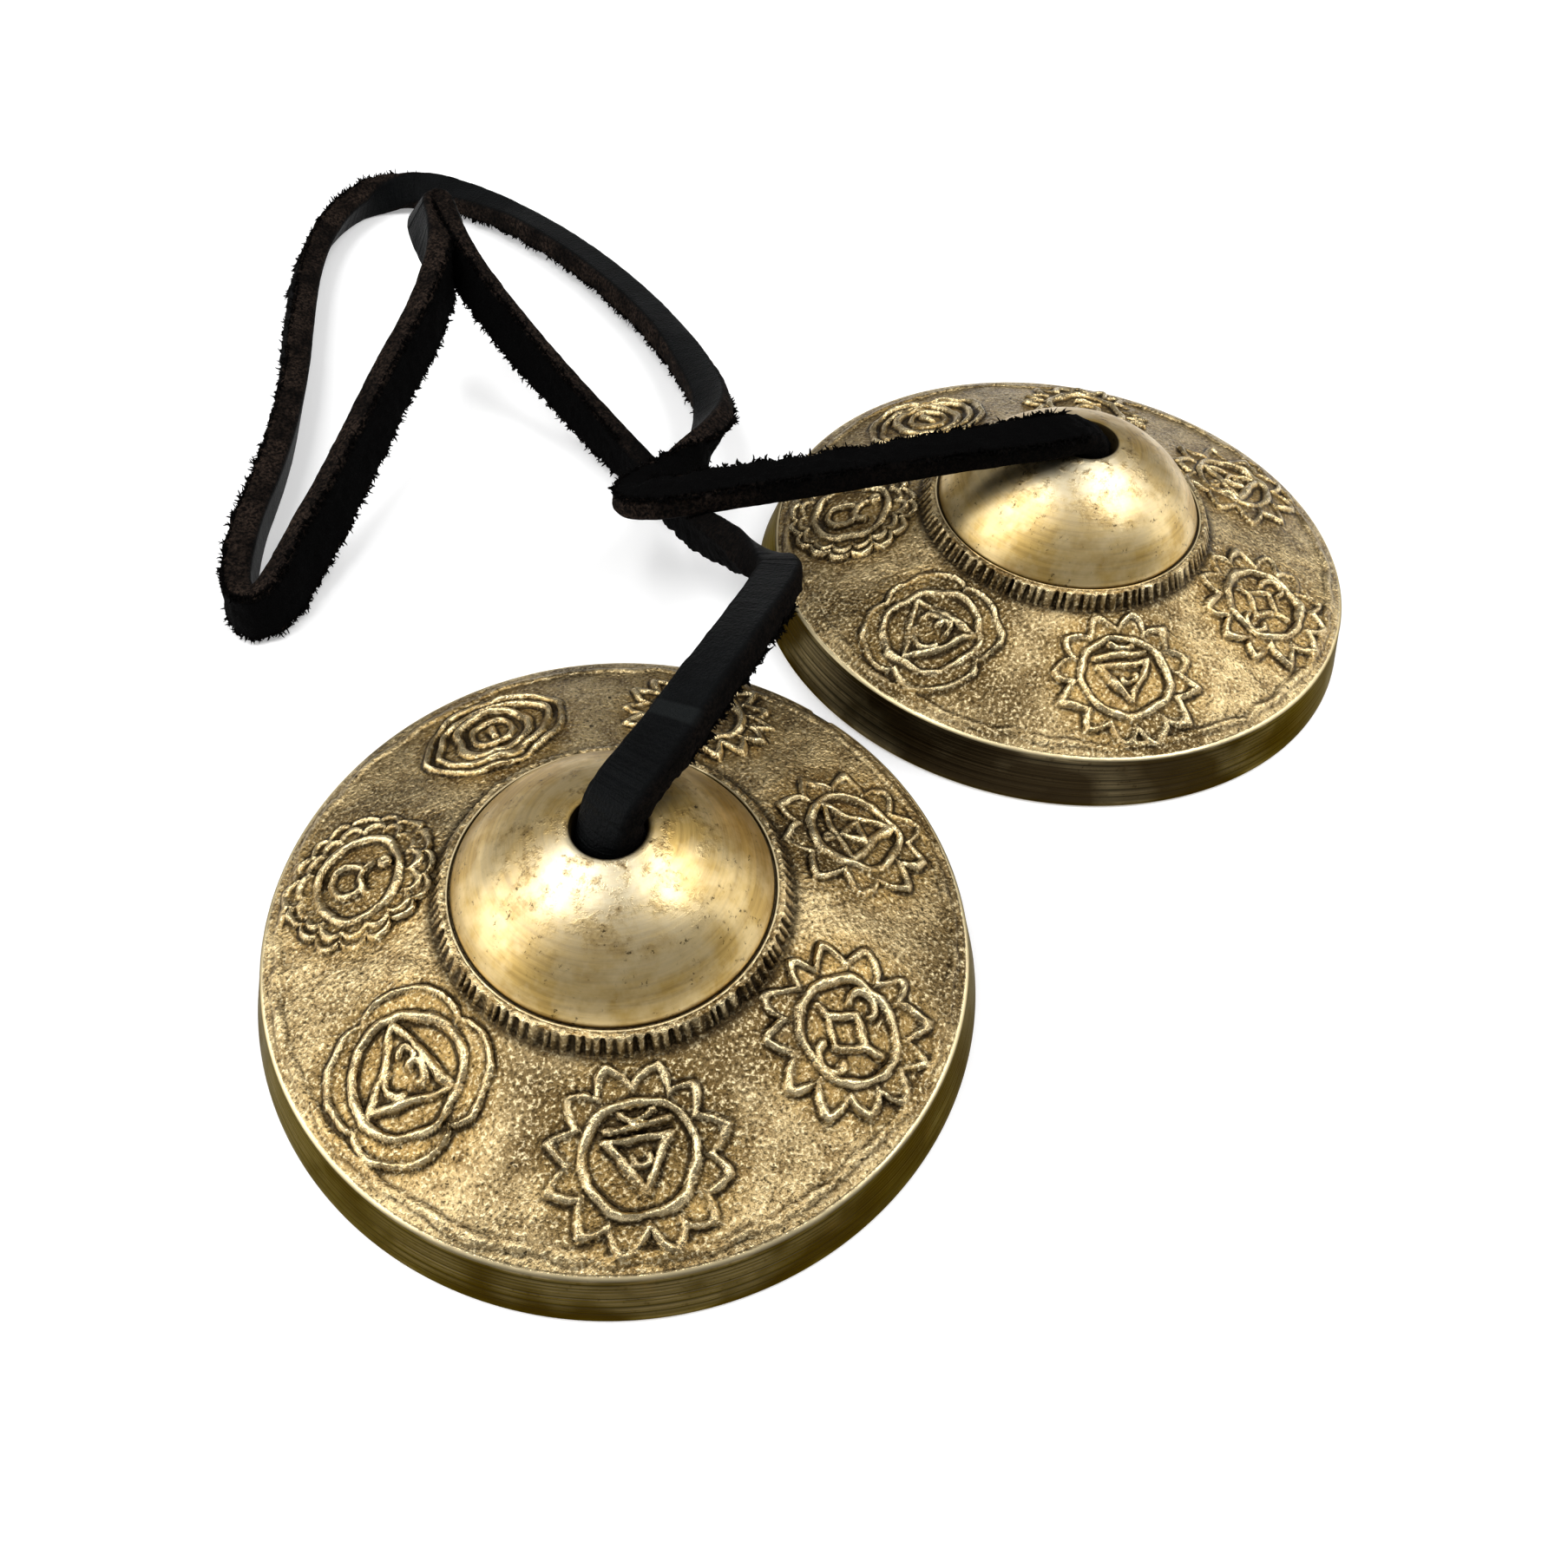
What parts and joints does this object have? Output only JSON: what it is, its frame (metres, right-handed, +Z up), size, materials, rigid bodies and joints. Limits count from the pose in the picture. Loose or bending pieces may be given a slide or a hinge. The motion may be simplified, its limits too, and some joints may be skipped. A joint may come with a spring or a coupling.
{
  "type": "tingsha cymbals",
  "caption": "A pair of small cast tingsha cymbals with relief medallions and fluted collars, joined by one folded black leather thong.",
  "frame": {"origin": "on the floor, midway between the two cymbals' axes", "axes": "+X runs from the left cymbal's hole to the right cymbal's hole, +Y points to the side where the thong's loop lies, +Z is up"},
  "size_m": [0.1432, 0.1695, 0.0287],
  "materials": {
    "cast_brass": "antique sand-cast relief with dark recesses, turned and polished dome and edge",
    "black_leather": "black thong leather, satin grain face, rough frayed cut edges"
  },
  "bodies": {
    "thong": {"thong": "black_leather"},
    "left_knot": {"left_knot": "black_leather"},
    "left_cymbal": {"left_cymbal": "cast_brass"},
    "right_knot": {"right_knot": "black_leather"},
    "right_cymbal": {"right_cymbal": "cast_brass"}
  },
  "joints": [
    {"name": "left_tilt", "type": "hinge", "parent": "thong", "child": "left_knot", "pos_m": [-0.03665, 0, 0.01977], "axis": [-0.193, 0.9812, 0], "range_deg": [-5, 10]},
    {"name": "left_spin", "type": "hinge", "parent": "left_knot", "child": "left_cymbal", "pos_m": [-0.03665, 0, 0.01977], "axis": [0, 0, 1], "continuous": true},
    {"name": "right_tilt", "type": "hinge", "parent": "thong", "child": "right_knot", "pos_m": [0.03665, 0, 0.01977], "axis": [-0.5916, -0.8062, 0], "range_deg": [-5, 10]},
    {"name": "right_spin", "type": "hinge", "parent": "right_knot", "child": "right_cymbal", "pos_m": [0.03665, 0, 0.01977], "axis": [0, 0, 1], "continuous": true}
  ]
}
